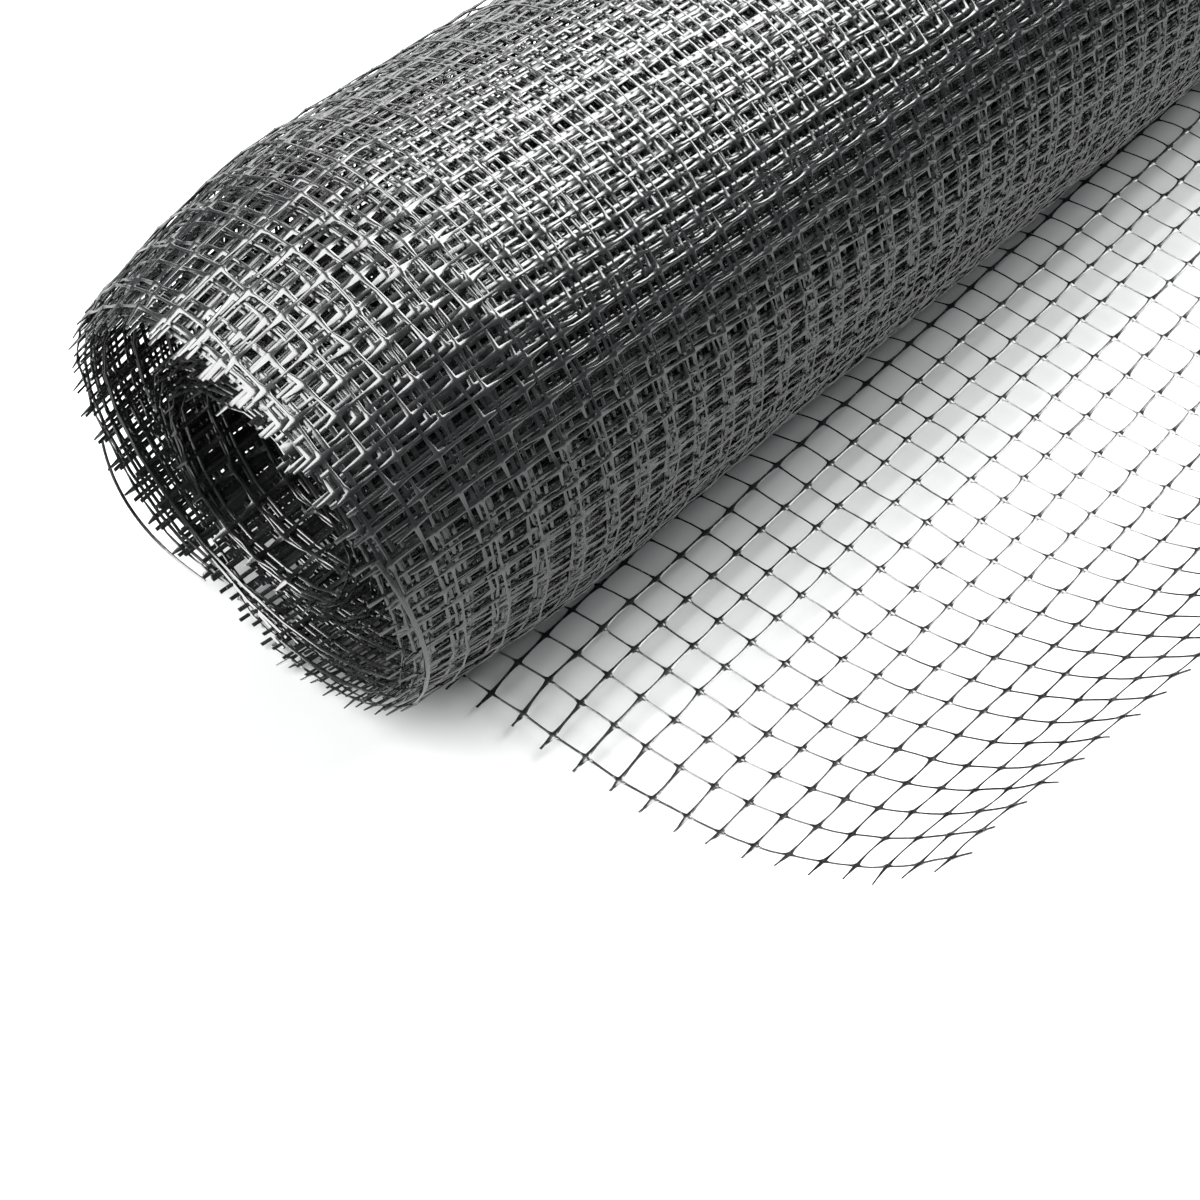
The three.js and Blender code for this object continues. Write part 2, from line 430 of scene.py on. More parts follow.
    @staticmethod
    def bars(
        course: Course, row: np.ndarray, column: np.ndarray, family: Family, lengthwise: bool
    ) -> tuple[np.ndarray, np.ndarray]:
        """Carries a lozenge along each strand of one family.

        Args:
            course: The path that the net follows.
            row: Row number at each step, or of each strand.
            column: Column number of each strand, or at each step.
            family: The strands' sizes.
            lengthwise: True where a strand's steps go along the net.

        Returns:
            The points, and the faces with a closing face at both ends of each strand.
        """
        row, column = np.broadcast_arrays(row, column)
        strands, steps = row.shape
        sideways = np.array([-1.0, 0.0, 1.0, 0.0]) * PLAIN_WIDENING * family.half_width
        upwards = np.array([0.0, 1.0, 0.0, -1.0]) * PLAIN_HEIGHTENING * family.half_height
        corners = len(sideways)
        shape = (strands, steps, corners)
        wide = np.broadcast_to(sideways if lengthwise else -sideways, shape).ravel()
        lift = np.broadcast_to(upwards, shape).ravel()
        nothing = np.zeros(wide.size)
        out, over = (nothing, wide) if lengthwise else (wide, nothing)
        rows, columns = np.repeat(row.ravel(), corners), np.repeat(column.ravel(), corners)
        points = course.place(rows, columns, out, over, lift)
        number = np.arange(strands * steps * corners).reshape(shape)
        here, there = number[:, :-1, :], number[:, 1:, :]
        sides = np.stack([here, there, np.roll(there, -1, axis=2), np.roll(here, -1, axis=2)], axis=-1)
        start, end = number[:, 0, :], number[:, -1, ::-1]
        return points, np.concatenate([sides.reshape(-1, 4), start, end])

    @staticmethod
    def _knot_cells(lines: Lines) -> np.ndarray:
        """True for each gap between two neighbouring lines of the same crossing."""
        same = lines.crossing[:-1] == lines.crossing[1:]
        return lines.on_knot[:-1] & lines.on_knot[1:] & same

    @staticmethod
    def _stray(
        random: np.random.Generator,
        uneven: Unevenness,
        along: Lines,
        across: Lines,
        p: np.ndarray,
        q: np.ndarray,
        rows: int,
        columns: int,
    ) -> tuple[np.ndarray, np.ndarray, np.ndarray, np.ndarray, np.ndarray]:
        """Works out how far each point strays from the perfect lattice.

        A point between two crossings takes a mean of their shifts, weighted by its share of the way, plus
        the bow of its own link, which is largest halfway. A tail has its own length and bend.

        Args:
            random: Source of the random numbers.
            uneven: The standard deviations.
            along: Lines across the lengthwise strands.
            across: Lines across the crosswise strands.
            p: Line number of each point in along.
            q: Line number of each point in across.
            rows: Crossings along the net.
            columns: Crossings across it.

        Returns:
            Factors on the shares along and across, then the shifts out, over and up.
        """
        spread = np.array([uneven.crossing_shift, uneven.crossing_shift, uneven.crossing_lift])
        shifts = random.normal(0.0, 1.0, (rows, columns, 3)) * spread
        bows_along = random.normal(0.0, uneven.bow, (rows, columns, 2))
        bows_across = random.normal(0.0, uneven.bow, (rows, columns, 2))
        bends_along = random.normal(0.0, uneven.tail_bend, (columns, 2))
        bends_across = random.normal(0.0, uneven.tail_bend, (rows, 2))
        lengths_along = random.normal(1.0, uneven.tail_share, columns).clip(*TAIL_RANGE)
        lengths_across = random.normal(1.0, uneven.tail_share, rows).clip(*TAIL_RANGE)

        i, j = along.crossing[p], across.crossing[q]
        next_i, next_j = np.minimum(i + 1, rows - 1), np.minimum(j + 1, columns - 1)
        f = np.clip(along.share[p], 0.0, 1.0) * ~along.on_tail[p]
        g = np.clip(across.share[q], 0.0, 1.0) * ~across.on_tail[q]
        near = shifts[i, j] * (1.0 - f)[:, None] + shifts[next_i, j] * f[:, None]
        far = shifts[i, next_j] * (1.0 - f)[:, None] + shifts[next_i, next_j] * f[:, None]
        shift = near * (1.0 - g)[:, None] + far * g[:, None]
        hump_f, hump_g = 4.0 * f * (1.0 - f), 4.0 * g * (1.0 - g)
        tail_f = along.on_tail[p] * np.abs(along.share[p])
        tail_g = across.on_tail[q] * np.abs(across.share[q])
        out = shift[:, 0] + hump_g * bows_across[i, j, 0] + tail_g * bends_across[i, 0]
        over = shift[:, 1] + hump_f * bows_along[i, j, 0] + tail_f * bends_along[j, 0]
        lift = shift[:, 2] + hump_f * bows_along[i, j, 1] + hump_g * bows_across[i, j, 1]
        lift = lift + tail_f * bends_along[j, 1] + tail_g * bends_across[i, 1]
        row_shift = np.where(along.on_tail[p], lengths_along[j], 1.0)
        column_shift = np.where(across.on_tail[q], lengths_across[i], 1.0)
        return row_shift, column_shift, out, over, lift


def make_object(name: str, points: np.ndarray, faces: np.ndarray, tone: np.ndarray) -> bpy.types.Object:
    """Puts arrays of points and four-sided faces into a mesh object at the origin.

    Args:
        name: Name of the object.
        points: One row for each point.
        faces: Four point numbers for each face, anticlockwise seen from outside.
        tone: A number from 0 to 1 for each point, which the finish reads.

    Returns:
        The new object.
    """
    mesh = bpy.data.meshes.new(name)
    mesh.vertices.add(len(points))
    mesh.vertices.foreach_set("co", points.astype(np.float32).ravel())
    mesh.loops.add(faces.size)
    mesh.loops.foreach_set("vertex_index", faces.astype(np.int32).ravel())
    mesh.polygons.add(len(faces))
    mesh.polygons.foreach_set("loop_start", np.arange(0, faces.size, 4, dtype=np.int32))
    mesh.polygons.foreach_set("use_smooth", np.ones(len(faces), bool))
    mesh.update(calc_edges=True)
    mesh.set_sharp_from_angle(angle=SHARP_ANGLE)
    attribute = mesh.attributes.new("tone", "FLOAT", "POINT")
    attribute.data.foreach_set("value", tone.astype(np.float32))
    piece = bpy.data.objects.new(name, mesh)
    bpy.context.scene.collection.objects.link(piece)
    return piece


@dataclass(frozen=True)
class LooseCourse(Course):
    """The loose end: flat on the floor under the roll, a little off it outside, curled up at its cut edge.

    Attributes:
        first_row: Number of the first row, where row 0 is the first that clears the roll.
        hover: How high the net springs off the floor.
        hover_from, hover_to: Where it lifts off, and where it is fully up, along the net.
        dip, dip_across, dip_along: How much of the hover the near corner loses, and how fast that fades.
        swell, swell_across, swell_along: The net arches up beside the roll, away from the near corner.
        curl_from, curl_drift, curl_span: Where the curl starts at the near edge, and how that moves with Y.
        curl_radius, curl_angle: The curl's arc.
        probe: How far to each side of a point the sheet's directions are measured.
    """

    first_row: int
    hover: float = 0.015
    hover_from: float = 0.020
    hover_to: float = 0.086
    dip: float = 0.62
    dip_across: float = 0.022
    dip_along: float = 0.240
    swell: float = 0.008
    swell_across: float = 0.400
    swell_along: float = 0.080
    curl_from: float = 0.122
    curl_drift: float = 0.196
    curl_span: float = 0.300
    curl_radius: float = 0.167
    curl_angle: float = math.radians(52)
    probe: float = 0.001

    def sheet(self, along: np.ndarray, across: np.ndarray) -> np.ndarray:
        """The underside of the flat net, bent.

        Height is the curl's arc, which rises with one minus the cosine of its angle, plus the hover. Behind
        the roll's lowest line the net follows the roll's own circle.

        Args:
            along: Distance along the net from the roll's lowest line.
            across: Place along the roll's axis.

        Returns:
            The points, one row each.
        """
        from_edge = np.maximum(0.0, across - SIZES.first_strand_y)
        past_row = np.maximum(0.0, along - SIZES.first_row)
        curl_start = self.curl_from + self.curl_drift * np.minimum(from_edge, self.curl_span)
        angle = np.clip((along - curl_start) / self.curl_radius, 0.0, self.curl_angle)
        straight = np.maximum(0.0, along - curl_start - self.curl_radius * self.curl_angle)
        x = np.minimum(along, curl_start) + self.curl_radius * np.sin(angle)
        x = x + straight * math.cos(self.curl_angle)
        curl = self.curl_radius * (1.0 - np.cos(angle)) + straight * math.sin(self.curl_angle)
        rise = smoothstep(along, self.hover_from, self.hover_to)
        dip = self.dip * np.exp(-from_edge / self.dip_across) * np.exp(-past_row / self.dip_along)
        swell_fade = np.exp(-past_row / self.swell_along)
        swell = self.swell * np.minimum(from_edge / self.swell_across, 1.0) * swell_fade
        z = curl + rise * (self.hover * (1.0 - dip) + swell)
        behind = np.minimum(along, 0.0) / SIZES.roll_radius
        x = np.where(along < 0.0, SIZES.roll_radius * np.sin(behind), x)
        z = np.where(along < 0.0, SIZES.roll_radius * (1.0 - np.cos(behind)), z)
        return np.stack([x, across, z], axis=1)

    def place(
        self, row: np.ndarray, column: np.ndarray, out: np.ndarray, over: np.ndarray, lift: np.ndarray
    ) -> np.ndarray:
        """See Course. The lift goes along the cross product of the sheet's two directions."""
        ahead = (row + self.first_row) * SIZES.pitch_along
        beside = column * SIZES.pitch_across
        along = SIZES.first_row + ahead - SIZES.skew * beside + out
        across = SIZES.first_strand_y + beside + SIZES.skew * ahead + over
        middle = self.sheet(along, across)
        step_out = self.sheet(along + self.probe, across) - self.sheet(along - self.probe, across)
        step_over = self.sheet(along, across + self.probe) - self.sheet(along, across - self.probe)
        up = np.cross(step_out, step_over)
        up /= np.linalg.norm(up, axis=1, keepdims=True)
        points = middle + up * (lift + SIZES.half_thickness)[:, None]
        points[:, 2] = np.maximum(points[:, 2], 0.0)
        return points


@dataclass(frozen=True)
class RollEnd:
    """How the turns sag and draw in towards one end of the roll.

    Attributes:
        length: How far in from the end the change reaches.
        half_width_loss, half_height_loss: How much narrower and lower the roll is at the end.
        side_shift: How far the middle moves along X.
        lean, side_lean: How much further out the end's top and its +X side are.
    """

    length: float
    half_width_loss: float
    half_height_loss: float
    side_shift: float
    lean: float
    side_lean: float


NEAR_END = RollEnd(
    length=0.078,
    half_width_loss=0.0085,
    half_height_loss=0.0164,
    side_shift=-0.0085,
    lean=0.0069,
    side_lean=0.0024,
)
FAR_END = RollEnd(
    length=0.078,
    half_width_loss=0.0060,
    half_height_loss=0.0115,
    side_shift=-0.0060,
    lean=0.0048,
    side_lean=0.0,
)
END_POWER = 1.5  # of the way to the cut end, which makes the change come on softly
END_OVERSHOOT = 1.2  # cut strands that stand past the end go on the same way, up to this
FIRST_SETTLED = 0.66 * math.pi  # how far round the outermost turn slides into its place
SETTLED_ANGLE = 0.25 * math.pi  # and every other turn
INNER_START = math.radians(30)  # where on the roll the net leaves the outer wall, from straight up
LEAVING_ANGLE = INNER_START + math.pi  # from the lowest line round to there
LEAVING_STRETCH = 0.5 * math.pi  # how far round the first inner turn comes off the outer wall
OUTER_WALL = 0.0124  # from the outline of the roll to where the first inner turn starts
RIM_RIPPLE = 2.0  # what the unevenness gains at the near end, as a multiple of it
LOW_CALM = 0.5  # what it loses on the lowest line, as a share of it


@dataclass(frozen=True)
class Ripple:
    """A slow wave in the surface of a turn.

    Attributes:
        size: Its size, as a share of the turn's unevenness.
        lobes: How many waves go round the roll.
        twist: How far the wave turns for each metre along the axis.
        phase_factor: What the turn's own phase is multiplied by.
    """

    size: float
    lobes: int
    twist: float
    phase_factor: float

    def at(self, angle: np.ndarray, y: np.ndarray, phase: float) -> np.ndarray:
        """The wave's height: the sine of angle, phase and place along the axis, each times its factor."""
        return self.size * np.sin(self.lobes * angle + self.phase_factor * phase + self.twist * y)


OUTER_RIPPLES = (Ripple(1.0, 3, 9.0, 1.0), Ripple(0.6, 5, 17.0, -2.1))
INNER_RIPPLES = (Ripple(1.0, 2, 6.0, 1.0), Ripple(0.7, 5, 13.0, -1.0))


def halfway_radius(turns_in: int, pitch: float) -> float:
    """Radius of the middle of the net halfway round an outer turn."""
    return SIZES.roll_radius - SIZES.knot_room - (turns_in + 0.5) * pitch


@dataclass(frozen=True)
class RollCourse(Course):
    """One outer turn of the roll, as a stretch of a spiral that starts at the roll's lowest line.

    Attributes:
        turns_in: Turns that lie outside this one.
        pitch: From one turn to the next, across the wall.
        start: Distance along the net from the roll's lowest line to the first row.
        near_y: Place of the first lengthwise strand.
        slide: How far the net slides along the axis as the turn starts, to that place.
        slack: How far it slides along its own length there.
        skew: How far a row drifts along the net for each metre along the axis.
        wave: Size of the turn's slow unevenness.
        wave_phase: Where the unevenness starts.
        sway: How far the turn wanders to both sides along the axis.
        sway_angle: Where on the roll it wanders fastest.
    """

    turns_in: int
    pitch: float
    start: float
    near_y: float
    slide: float
    slack: float
    skew: float
    wave: float
    wave_phase: float
    sway: float
    sway_angle: float

    @property
    def radius(self) -> float:
        """Radius of the middle of the net halfway round the turn."""
        return halfway_radius(self.turns_in, self.pitch)

    def place(
        self, row: np.ndarray, column: np.ndarray, out: np.ndarray, over: np.ndarray, lift: np.ndarray
    ) -> np.ndarray:
        """See Course. The angle is arc length over radius, and the radius falls evenly with the angle.

        The section is an ellipse that stands on the floor: its half sizes shrink and its middle moves
        towards each end of the roll.
        """
        beside = column * SIZES.pitch_across
        along = self.start + row * SIZES.pitch_along + self.skew * beside + out
        settled_angle = FIRST_SETTLED if self.turns_in == 0 else SETTLED_ANGLE
        settled = smoothstep(along / self.radius, 0.0, settled_angle)
        turned = (along + self.slack * settled) / self.radius
        angle = turned - math.pi
        y = self.near_y + self.slide * (1.0 - settled) + beside + over
        y = y - self.sway * settled * np.sin(angle - self.sway_angle)
        radius = self.radius - self.pitch * angle / FULL_TURN
        return bend_on_roll(angle, y, radius, lift, self.wave, self.wave_phase)


def end_share(y: np.ndarray, end: RollEnd, end_y: float) -> np.ndarray:
    """How far the change at one end of the roll has come: a power of the way there, 1 at the cut end."""
    reach = (y * math.copysign(1.0, end_y) - abs(end_y) + end.length) / end.length
    return np.clip(reach, 0.0, END_OVERSHOOT) ** END_POWER


def bend_on_roll(
    angle: np.ndarray, y: np.ndarray, radius: np.ndarray, lift: np.ndarray, wave: float, phase: float
) -> np.ndarray:
    """Puts points on the roll's outer wall.

    Args:
        angle: From straight up, towards +X.
        y: Place along the axis.
        radius: Radius of the middle of the net in the roll's even stretch.
        lift: Distance outwards from the middle of the net.
        wave: Size of the slow unevenness, which grows towards the near end and is less low on the roll.
        phase: Where the unevenness starts.

    Returns:
        The points, one row each.
    """
    near = end_share(y, NEAR_END, -SIZES.end_y)
    far = end_share(y, FAR_END, SIZES.end_y)
    uneven = sum(ripple.at(angle, y, phase) for ripple in OUTER_RIPPLES)
    strength = 1.0 - LOW_CALM + LOW_CALM * np.cos(angle / 2) ** 2
    rim = wave * (1.0 + RIM_RIPPLE * near) * uneven * strength
    size = (radius + rim) / SIZES.roll_radius
    half_width = SIZES.roll_radius - NEAR_END.half_width_loss * near - FAR_END.half_width_loss * far
    half_height = SIZES.roll_radius - NEAR_END.half_height_loss * near - FAR_END.half_height_loss * far
    middle_x = NEAR_END.side_shift * near + FAR_END.side_shift * far
    lean = (FAR_END.lean * far - NEAR_END.lean * near) * np.cos(angle)
    lean = lean + (FAR_END.side_lean * far - NEAR_END.side_lean * near) * np.sin(angle)
    x = middle_x + (half_width * size + lift) * np.sin(angle)
    z = half_height + (half_height * size + lift) * np.cos(angle)
    return np.stack([x, y + lean, np.maximum(z, 0.0)], axis=1)


@dataclass(frozen=True)
class Loop:
    """An upright ellipse that a turn of the inner group follows, in the plane across the axis.

    Attributes:
        x, z: Its middle.
        half_width, half_height: Its half sizes.
    """

    x: float
    z: float
    half_width: float
    half_height: float

    def mix(self, other: "Loop", share: np.ndarray) -> tuple[np.ndarray, np.ndarray, np.ndarray, np.ndarray]:
        """The four sizes, a share of the way to another loop's."""
        own_sizes = (self.x, self.z, self.half_width, self.half_height)
        other_sizes = (other.x, other.z, other.half_width, other.half_height)
        return tuple(own + (theirs - own) * share for own, theirs in zip(own_sizes, other_sizes))


# The group's outside and inside, at the near end and further in
OUTSIDE_LOOP = Loop(x=0.0025, z=0.0995, half_width=0.0625, half_height=0.0525)
INSIDE_LOOP = Loop(x=-0.005, z=0.0915, half_width=0.046, half_height=0.0405)
OUTSIDE_LOOP_WITHIN = Loop(x=0.002, z=0.102, half_width=0.060, half_height=0.059)
INSIDE_LOOP_WITHIN = Loop(x=-0.002, z=0.099, half_width=0.046, half_height=0.045)


@dataclass(frozen=True)
class InnerCourse(Course):
    """One turn of the inner group, as a stretch of a loose spiral.

    Attributes:
        first_turn: Turns of the group that lie outside this one.
        turns: Turns in the whole group.
        rows: Rows in this turn, with fractions.
        first_row: Where its first row lies, in rows.
        near_y: Place of the first lengthwise strand.
        wave: Size of the turn's slow unevenness.
        phase: Where the unevenness starts.
        leaves_wall: True for the turn that still starts on the outer wall.
        skew: How far a row drifts along the net from one column to the next, in rows.
    """

    first_turn: float
    turns: float
    rows: float
    first_row: float
    near_y: float
    wave: float
    phase: float
    leaves_wall: bool = False
    skew: float = 0.046

    def place(
        self, row: np.ndarray, column: np.ndarray, out: np.ndarray, over: np.ndarray, lift: np.ndarray
    ) -> np.ndarray:
        """See Course. The loop's four sizes change evenly with the angle, and along the axis near the end."""
        beside = column * SIZES.pitch_across
        wound = row + self.first_row + self.skew * column
        turned = FULL_TURN * wound / self.rows + out / INSIDE_LOOP.half_width
        angle = turned + INNER_START
        y = self.near_y + beside + over
        share = (self.first_turn + turned / FULL_TURN) / self.turns
        near = end_share(y, NEAR_END, -SIZES.end_y)
        at_end = OUTSIDE_LOOP.mix(INSIDE_LOOP, share)
        within = OUTSIDE_LOOP_WITHIN.mix(INSIDE_LOOP_WITHIN, share)
        loop = (inside + (end - inside) * near for inside, end in zip(within, at_end))
        x, z, half_width, half_height = loop
        push = self.wave * sum(ripple.at(angle, y, self.phase) for ripple in INNER_RIPPLES) + lift
        x = x + (half_width + push) * np.sin(angle)
        z = z + (half_height + push) * np.cos(angle)
        points = np.stack([x, y, z], axis=1)
        if self.leaves_wall:
            wall_radius = SIZES.roll_radius - OUTER_WALL - OuterWall.pitch * turned / FULL_TURN
            wall = bend_on_roll(angle, y, wall_radius, lift, 0.0, 0.0)
            stay = 1.0 - smoothstep(turned, 0.0, LEAVING_STRETCH)
            points = points + (wall - points) * stay[:, None]
        return points


class Finish:
    """A surface finish, made of procedural nodes."""

    def material(self) -> bpy.types.Material:
        """Makes the material."""
        raise NotImplementedError


@dataclass(frozen=True)
class BlackNetPlastic(Finish):
    """Glossy black extruded polypropylene.

    Attributes:
        dark, light: The colour's range over the crossings and along the strands.
        smooth, rough: The roughness range.
        grain_scale, grain_detail: Grains for each metre, and how fine they get.
        bump_depth, bump_strength: Depth of the drawn skin's unevenness, and how much of it shows.
        ior: The skin's index of refraction, which sets how strongly it mirrors.
    """

    dark: tuple[float, float, float] = (0.004, 0.0042, 0.0045)
    light: tuple[float, float, float] = (0.018, 0.0185, 0.019)
    smooth: float = 0.17
    rough: float = 0.33
    grain_scale: float = 420.0
    grain_detail: float = 3.0
    bump_depth: float = 0.00012
    bump_strength: float = 0.5
    ior: float = 1.75

    def material(self) -> bpy.types.Material:
        """See Finish."""
        made = bpy.data.materials.new("black_net_plastic")
        made.use_nodes = True
        nodes, links = made.node_tree.nodes, made.node_tree.links
        shader = nodes["Principled BSDF"]
        place = nodes.new("ShaderNodeTexCoord")
        tone = nodes.new("ShaderNodeAttribute")
        tone.attribute_name = "tone"
        grain = nodes.new("ShaderNodeTexNoise")
        grain.inputs["Scale"].default_value = self.grain_scale
        grain.inputs["Detail"].default_value = self.grain_detail
        links.new(place.outputs["Object"], grain.inputs["Vector"])
        both = nodes.new("ShaderNodeMath")
        both.operation = "MULTIPLY"
        links.new(grain.outputs["Fac"], both.inputs[0])
        links.new(tone.outputs["Fac"], both.inputs[1])
        colour = nodes.new("ShaderNodeMix")
        colour.data_type = "RGBA"
        colour.inputs["A"].default_value = (*self.dark, 1.0)
        colour.inputs["B"].default_value = (*self.light, 1.0)
        links.new(both.outputs["Value"], colour.inputs["Factor"])
        links.new(colour.outputs["Result"], shader.inputs["Base Color"])
        gloss = nodes.new("ShaderNodeMapRange")
        gloss.inputs["To Min"].default_value = self.smooth
        gloss.inputs["To Max"].default_value = self.rough
        links.new(grain.outputs["Fac"], gloss.inputs["Value"])
        links.new(gloss.outputs["Result"], shader.inputs["Roughness"])
        bump = nodes.new("ShaderNodeBump")
        bump.inputs["Strength"].default_value = self.bump_strength
        bump.inputs["Distance"].default_value = self.bump_depth
        links.new(grain.outputs["Fac"], bump.inputs["Height"])
        links.new(bump.outputs["Normal"], shader.inputs["Normal"])
        shader.inputs["IOR"].default_value = self.ior
        return made


@dataclass(frozen=True)
class StudioFloor(Finish):
    """Plain pale studio floor."""

    shade: tuple[float, float, float] = (0.43, 0.434, 0.434)
    roughness: float = 0.6

    def material(self) -> bpy.types.Material:
        """See Finish."""
        made = bpy.data.materials.new("studio_floor")
        made.use_nodes = True
        shader = made.node_tree.nodes["Principled BSDF"]
        shader.inputs["Base Color"].default_value = (*self.shade, 1.0)
        shader.inputs["Roughness"].default_value = self.roughness
        return made


@dataclass
class SubAssembly:
    """A part of the object that makes and dresses its own pieces."""

    net: Net
    finish: bpy.types.Material
    pieces: list[bpy.types.Object] = field(default_factory=list)

    def dress(self, piece: bpy.types.Object, *nodes: str) -> None:
        """Gives a piece its finish and its body, hides the CAD nodes that it replaces, and adds it to the
        sub-assembly's pieces.

        Args:
            piece: The finished piece.
            *nodes: Names of the CAD nodes that it replaces.
        """
        piece.data.materials.append(self.finish)
        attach(piece, BODY)
        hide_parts(*nodes)
        self.pieces.append(piece)
        LOG.info("%s: %d faces", piece.name, len(piece.data.polygons))


@dataclass
class LooseEnd(SubAssembly):
    """The unrolled end of the net.

    Attributes:
        first_row, last_row: Its rows, where row 0 is the first that clears the roll.
        uneven: How far it strays from a perfect lattice.
        seed: Seed of its random numbers.
    """

    first_row: int = -6
    last_row: int = 14
    uneven: Unevenness = Unevenness(crossing_shift=0.0002, crossing_lift=0.0002, bow=0.0002, tail_share=0.12)
    seed: int = 11

    def build(self) -> None:
        """Makes the loose end as one lattice with cut tails on three sides."""
        rows = self.last_row - self.first_row + 1
        half_link = SIZES.pitch_along / 2
        tails = ((half_link, SIZES.edge_tail), (SIZES.edge_tail, SIZES.edge_tail))
        course = LooseCourse(self.first_row)
        piece = self.net.mesh(
            "loose_end", course, rows, SIZES.columns, Detail.CLOSE, tails, self.uneven, self.seed
        )
        self.dress(piece, "loose_end_under_roll", "loose_end_flat", "loose_end_curl")


@dataclass
class OuterWall(SubAssembly):
    """The outer turns of the roll, which carry straight on from the loose end.

    Attributes:
        turns: How many turns there are.
        pitch: From one turn to the next, across the wall.
        near_y: Place of the outermost turn's first lengthwise strand.
        skew: How far a row drifts along the net for each metre along the axis.
        slides: How far each turn has slid along the axis, so that its strands lie between the others'.
        top_rows: How far each turn's rows lie from the outermost turn's at the top, in rows.
        wave: Size of a turn's slow unevenness.
        sway, sway_angle: How far a turn wanders along the axis, and where the outermost one does so fastest.
        tail: How far a cut strand stands past the last crossing.
        uneven: How far the turns stray from a perfect lattice.
        seed: Seed of their random numbers.
        details: How finely the outermost turns are made. The rest are plain strands.
    """

    turns: int = 10
    pitch: float = 0.00105
    near_y: float = -0.4945
    skew: float = 0.047
    slides: tuple[float, ...] = (
        0.0, 0.0078, -0.0039, 0.0039, -0.0018, 0.0058, 0.0012, 0.0068, -0.0028, 0.0028,
    )
    top_rows: tuple[float, ...] = (0.0, 0.50, 0.24, 0.76, 0.12, 0.62, 0.38, 0.88, 0.56, 0.06)
    wave: float = 0.0005
    sway: float = 0.0024
    sway_angle: float = math.radians(40)
    tail: float = 0.0055
    uneven: Unevenness = Unevenness()
    seed: int = 29
    details: tuple[Detail, ...] = (Detail.OUTER, Detail.SECOND, Detail.DEEP)

    def build(self) -> None:
        """Makes the turns from the outside in. Each has as many rows as its length holds.

        A turn's slack brings its rows at the top to their places between the outermost turn's, by the
        shorter way.
        """
        random = np.random.default_rng(self.seed)
        half_link = SIZES.pitch_along / 2
        start = -SIZES.first_row - (LooseEnd.first_row - 1) * SIZES.pitch_along
        previous_y, top_row = SIZES.first_strand_y, 0.0
        for turn in range(self.turns):
            radius = halfway_radius(turn, self.pitch)
            near_y = self.near_y + self.slides[turn]
            natural = (math.pi * radius - start) / SIZES.pitch_along
            top_row = natural if turn == 0 else top_row
            slack = (natural - top_row - self.top_rows[turn] + 0.5) % 1.0 - 0.5
            slack = slack * SIZES.pitch_along
            turned = FULL_TURN + (LEAVING_ANGLE if turn == self.turns - 1 else 0.0)
            rows = math.ceil((turned * radius - start - slack) / SIZES.pitch_along)
            sway_angle = self.sway_angle if turn == 0 else random.uniform(0.0, FULL_TURN)
            course = RollCourse(
                turns_in=turn,
                pitch=self.pitch,
                start=start,
                near_y=near_y,
                slide=previous_y - near_y,
                slack=slack,
                skew=self.skew,
                wave=self.wave,
                wave_phase=random.uniform(0.0, FULL_TURN),
                sway=self.sway,
                sway_angle=sway_angle,
            )
            name = f"outer_turn_{turn + 1}"
            seed = self.seed + turn
            if turn < len(self.details):
                tails = ((half_link, half_link), (self.tail, self.tail))
                detail = self.details[turn]
                piece = self.net.mesh(name, course, rows, SIZES.columns, detail, tails, self.uneven, seed)
            else:
                piece = self.net.plain_mesh(name, course, rows, SIZES.columns, (half_link, self.tail), seed)
            self.dress(piece, "wound_roll")
            start += rows * SIZES.pitch_along + slack - FULL_TURN * radius
            previous_y = near_y


@dataclass
class InnerGroup(SubAssembly):
    """The inner turns, wound loosely round the hollow middle.

    Attributes:
        turns: How many turns there are.
        near_y: Place of the first lengthwise strand of the turn that stands out furthest.
        spread: Half of how far the turns' ends differ along the axis.
        wave: Size of a turn's slow unevenness.
        leaving_length: How much more net the first turn takes, from the outer wall.
        tail: How far a cut strand stands past the last crossing.
        uneven: How far the innermost turn strays from a perfect lattice.
        seed: Seed of their random numbers.
    """

    turns: int = 10
    near_y: float = -0.493
    spread: float = 0.0035
    wave: float = 0.0012
    leaving_length: float = 0.03
    tail: float = 0.005
    uneven: Unevenness = Unevenness(crossing_shift=0.0005, crossing_lift=0.0006, bow=0.0005)
    seed: int = 53

    def build(self) -> None:
        """Makes the turns from the outside in. The first one still starts on the outer wall."""
        random = np.random.default_rng(self.seed)
        half_link = SIZES.pitch_along / 2
        first_row = 0.0
        for turn in range(self.turns):
            share = (turn + 0.5) / self.turns
            _, _, half_width, half_height = OUTSIDE_LOOP_WITHIN.mix(INSIDE_LOOP_WITHIN, share)
            length = math.pi * (half_width + half_height) + (self.leaving_length if turn == 0 else 0.0)
            turn_rows = length / SIZES.pitch_along
            rows = math.ceil(turn_rows - first_row)
            course = InnerCourse(
                first_turn=turn,
                turns=self.turns,
                rows=turn_rows,
                first_row=first_row,
                near_y=self.near_y + random.uniform(0.0, 2 * self.spread),
                wave=self.wave,
                phase=random.uniform(0.0, FULL_TURN),
                leaves_wall=turn == 0,
            )
            name = f"inner_turn_{turn + 1}"
            seed = self.seed + turn
            if turn == self.turns - 1:
                tails = ((half_link, half_link), (self.tail, self.tail))
                detail = Detail.DEEP
                piece = self.net.mesh(name, course, rows, SIZES.columns, detail, tails, self.uneven, seed)
            else:
                piece = self.net.plain_mesh(name, course, rows, SIZES.columns, (half_link, self.tail), seed)
            self.dress(piece, "wound_roll")
            first_row += rows - turn_rows


